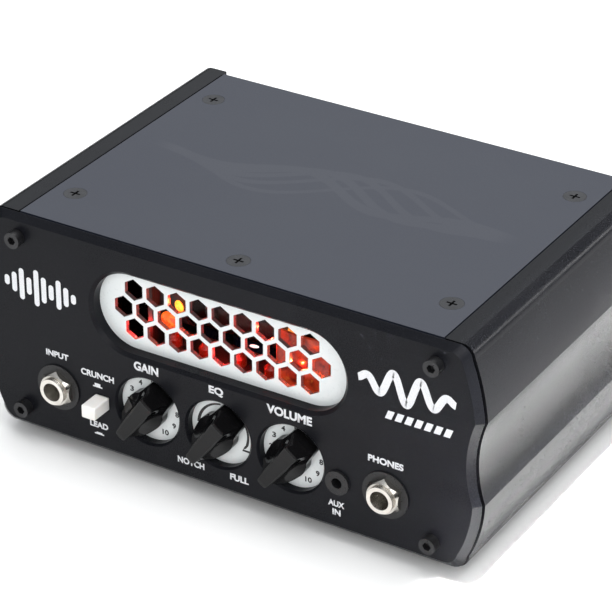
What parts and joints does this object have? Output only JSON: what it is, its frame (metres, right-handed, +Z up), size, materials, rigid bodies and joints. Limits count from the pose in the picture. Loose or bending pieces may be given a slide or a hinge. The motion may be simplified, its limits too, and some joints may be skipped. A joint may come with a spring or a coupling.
{
  "type": "guitar amplifier head",
  "caption": "Small tube guitar amp head: sculpted metal case, window with a hexagon grille, pointer knobs, push button and jacks on the front, sockets and rocker switch on the back.",
  "frame": {"origin": "under the middle of the object, on the surface that the feet stand on", "axes": "+X to the right of the front panel, +Y from the front to the back, +Z up"},
  "size_m": [0.1824, 0.1352, 0.0816],
  "materials": {
    "case_black": "fine satin texture powder coat",
    "cover_blue_black": "fine satin texture powder coat, blue-grey black",
    "plate_white": "smooth satin white enamel",
    "knob_black": "polished phenolic",
    "button_ivory": "fine moulded ivory",
    "black_plastic": "moulded",
    "screw_black": "black oxide",
    "nickel": "turned and plated",
    "steel": "turned",
    "rubber": "matt",
    "board_green": "solder mask",
    "glass_clear": "clear",
    "electrode_grey": "matt carbonised nickel",
    "heater_glow": "glowing",
    "lamp_red": "translucent red",
    "sink_black": "black anodised",
    "chip_black": "moulded",
    "can_blue": "sleeved",
    "coil_copper": "enamelled copper",
    "switch_black": "moulded"
  },
  "bodies": {
    "case": {"aux_jack": "black_plastic", "board_screws": "nickel", "board_standoffs": "nickel", "bottom_cover": "cover_blue_black", "bottom_cover_screws": "screw_black", "channel_switch": "black_plastic", "control_board": "board_green", "dc_inlet": "black_plastic", "dial_plate": "plate_white", "eq_pot": "steel", "foot_screws": "steel", "front_gasket": "rubber", "front_jack_bushings": "nickel", "front_jack_nuts": "nickel", "front_jack_washers": "black_plastic", "front_panel": "case_black", "front_panel_screws": "screw_black", "gain_pot": "steel", "glow_board": "board_green", "glow_bracket": "steel", "glow_lamps": "lamp_red", "heatsink": "sink_black", "input_jack": "black_plastic", "main_board": "board_green", "op_amp_chips": "chip_black", "output_coils": "coil_copper", "phones_jack": "black_plastic", "pot_nuts": "nickel", "power_module": "chip_black", "power_switch": "switch_black", "rear_jack_bushings": "nickel", "rear_jack_hardware": "nickel", "rear_panel": "case_black", "rear_panel_screws": "screw_black", "reservoir_capacitors": "can_blue", "return_jack": "black_plastic", "rubber_feet": "rubber", "send_jack": "black_plastic", "side_rail_left": "case_black", "side_rail_right": "case_black", "speaker_jack": "black_plastic", "top_cover": "cover_blue_black", "top_cover_screws": "screw_black", "tube_board": "board_green", "tube_bracket": "steel", "tube_electrodes": "electrode_grey", "tube_glass": "glass_clear", "tube_heater": "heater_glow", "tube_socket": "plate_white", "volume_pot": "steel", "window_grille": "plate_white"},
    "gain_control": {"gain_knob": "knob_black", "gain_shaft": "steel"},
    "eq_control": {"eq_knob": "knob_black", "eq_shaft": "steel"},
    "volume_control": {"volume_knob": "knob_black", "volume_shaft": "steel"},
    "channel_key": {"channel_button": "button_ivory", "switch_plunger": "black_plastic"},
    "power_key": {"power_rocker": "switch_black"}
  },
  "joints": [
    {"name": "gain_turn", "type": "hinge", "parent": "case", "child": "gain_control", "pos_m": [-0.0281, -0.06, 0.02527], "axis": [0, 1, 0], "range_deg": [-7, 293]},
    {"name": "eq_turn", "type": "hinge", "parent": "case", "child": "eq_control", "pos_m": [-0.0017, -0.06, 0.02527], "axis": [0, 1, 0], "range_deg": [-7, 293]},
    {"name": "volume_turn", "type": "hinge", "parent": "case", "child": "volume_control", "pos_m": [0.0247, -0.06, 0.02527], "axis": [0, 1, 0], "range_deg": [-7, 293]},
    {"name": "channel_press", "type": "slide", "parent": "case", "child": "channel_key", "axis": [0, 1, 0], "range_m": [0, 0.0026], "stiffness_N_per_m": 400},
    {"name": "power_rock", "type": "hinge", "parent": "case", "child": "power_key", "pos_m": [-0.062, 0.0631, 0.044], "axis": [1, 0, 0], "range_deg": [0, 13]}
  ]
}
